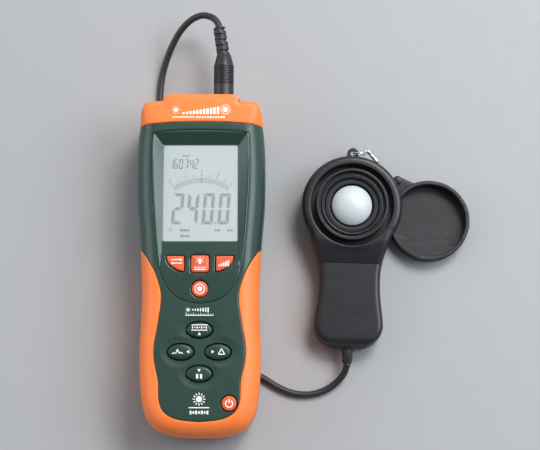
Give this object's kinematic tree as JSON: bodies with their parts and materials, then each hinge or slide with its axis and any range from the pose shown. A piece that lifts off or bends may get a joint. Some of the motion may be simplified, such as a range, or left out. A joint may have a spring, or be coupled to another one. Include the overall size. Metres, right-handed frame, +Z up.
{
  "type": "light meter",
  "caption": "Handheld light meter with display and keypad, lying on its back, with a corded sensor paddle and its push-on cap beside it.",
  "frame": {"origin": "mouth of the tripod socket, at the middle of the case back, on the plane that the part rests on", "axes": "+Z up out of the front face, +Y along the case towards the sensor plug, +X towards the sensor paddle"},
  "size_m": [0.1976, 0.2552, 0.0494],
  "materials": {
    "case_green": "fine moulded texture, satin",
    "grip_orange": "soft moulded elastomer, satin",
    "key_orange": "silicone rubber, satin",
    "key_green": "silicone rubber, satin",
    "window_clear": "polished clear plastic",
    "display_grey": "satin liquid-crystal display with dark segments",
    "frame_white": "satin moulded",
    "board_green": "solder-resist laminate",
    "mat_grey": "silicone rubber",
    "steel": "bright plated",
    "brass": "machined",
    "black_plastic": "satin moulded",
    "black_rubber": "matt",
    "sensor_black": "fine moulded texture, satin",
    "dome_white": "translucent opal, smooth",
    "filter_green": "coated glass",
    "battery_wrap": "plain printed sleeve"
  },
  "bodies": {
    "meter": {"front_case": "case_green", "rear_case": "case_green", "top_grip": "grip_orange", "side_grip": "grip_orange", "display_window": "window_clear", "lcd_panel": "display_grey", "lcd_frame": "frame_white", "backlight_panel": "frame_white", "lcd_contact_strip": "mat_grey", "main_board": "board_green", "keypad_mat": "mat_grey", "sensor_socket": "black_plastic", "data_port": "steel", "battery": "battery_wrap", "battery_snap": "black_plastic", "battery_cover": "case_green", "battery_cover_screw": "steel", "case_screws": "steel", "rubber_feet": "black_rubber", "stand_pin": "steel", "tripod_insert": "brass"},
    "stand": {"tilt_stand": "case_green"},
    "units_key": {"units_key": "key_orange"},
    "backlight_key": {"backlight_key": "key_orange"},
    "range_key": {"range_key": "key_orange"},
    "record_key": {"record_key": "key_orange"},
    "up_key": {"up_key": "key_green"},
    "left_key": {"left_key": "key_green"},
    "right_key": {"right_key": "key_green"},
    "down_key": {"down_key": "key_green"},
    "power_key": {"power_key": "key_orange"},
    "lead": {"plug_body": "black_plastic", "plug_nose": "steel", "plug_relief": "black_rubber", "sensor_cord": "black_rubber"},
    "sensor": {"sensor_front_shell": "sensor_black", "sensor_rear_shell": "sensor_black", "cap_seat_ring": "sensor_black", "diffuser_dome": "dome_white", "diffuser_retainer": "sensor_black", "filter_glass": "filter_green", "photodiode": "steel", "sensor_board": "board_green", "sensor_screws": "steel", "cord_grommet": "black_rubber", "tether_ring": "steel", "tether_clasp": "steel", "tether_loop": "black_rubber", "tether_knot": "black_rubber"},
    "cap": {"sensor_cap": "black_rubber"}
  },
  "joints": [
    {"name": "stand_hinge", "type": "hinge", "parent": "meter", "child": "stand", "pos_m": [0, 0.052, 0.0027], "axis": [1, 0, 0], "range_deg": [0, 60]},
    {"name": "units_key_press", "type": "slide", "parent": "meter", "child": "units_key", "axis": [0, 0, -1], "range_m": [0, 0.001], "stiffness_N_per_m": 500, "springref_m": -0.0008},
    {"name": "backlight_key_press", "type": "slide", "parent": "meter", "child": "backlight_key", "axis": [0, 0, -1], "range_m": [0, 0.001], "stiffness_N_per_m": 500, "springref_m": -0.0008},
    {"name": "range_key_press", "type": "slide", "parent": "meter", "child": "range_key", "axis": [0, 0, -1], "range_m": [0, 0.001], "stiffness_N_per_m": 500, "springref_m": -0.0008},
    {"name": "record_key_press", "type": "slide", "parent": "meter", "child": "record_key", "axis": [0, 0, -1], "range_m": [0, 0.001], "stiffness_N_per_m": 500, "springref_m": -0.0008},
    {"name": "up_key_press", "type": "slide", "parent": "meter", "child": "up_key", "axis": [0, 0, -1], "range_m": [0, 0.001], "stiffness_N_per_m": 500, "springref_m": -0.0008},
    {"name": "left_key_press", "type": "slide", "parent": "meter", "child": "left_key", "axis": [0, 0, -1], "range_m": [0, 0.001], "stiffness_N_per_m": 500, "springref_m": -0.0008},
    {"name": "right_key_press", "type": "slide", "parent": "meter", "child": "right_key", "axis": [0, 0, -1], "range_m": [0, 0.001], "stiffness_N_per_m": 500, "springref_m": -0.0008},
    {"name": "down_key_press", "type": "slide", "parent": "meter", "child": "down_key", "axis": [0, 0, -1], "range_m": [0, 0.001], "stiffness_N_per_m": 500, "springref_m": -0.0008},
    {"name": "power_key_press", "type": "slide", "parent": "meter", "child": "power_key", "axis": [0, 0, -1], "range_m": [0, 0.001], "stiffness_N_per_m": 500, "springref_m": -0.0008},
    {"name": "plug_pull", "type": "slide", "parent": "meter", "child": "lead", "axis": [0, 1, 0], "range_m": [0, 0.014]},
    {"name": "sensor_lift", "type": "slide", "parent": "lead", "child": "sensor", "axis": [0, 0, 1], "range_m": [0, 0.03]},
    {"name": "cap_swing", "type": "hinge", "parent": "sensor", "child": "cap", "pos_m": [0.117, 0.053, 0.007], "axis": [0, 0, 1], "range_deg": [0, 60]}
  ]
}
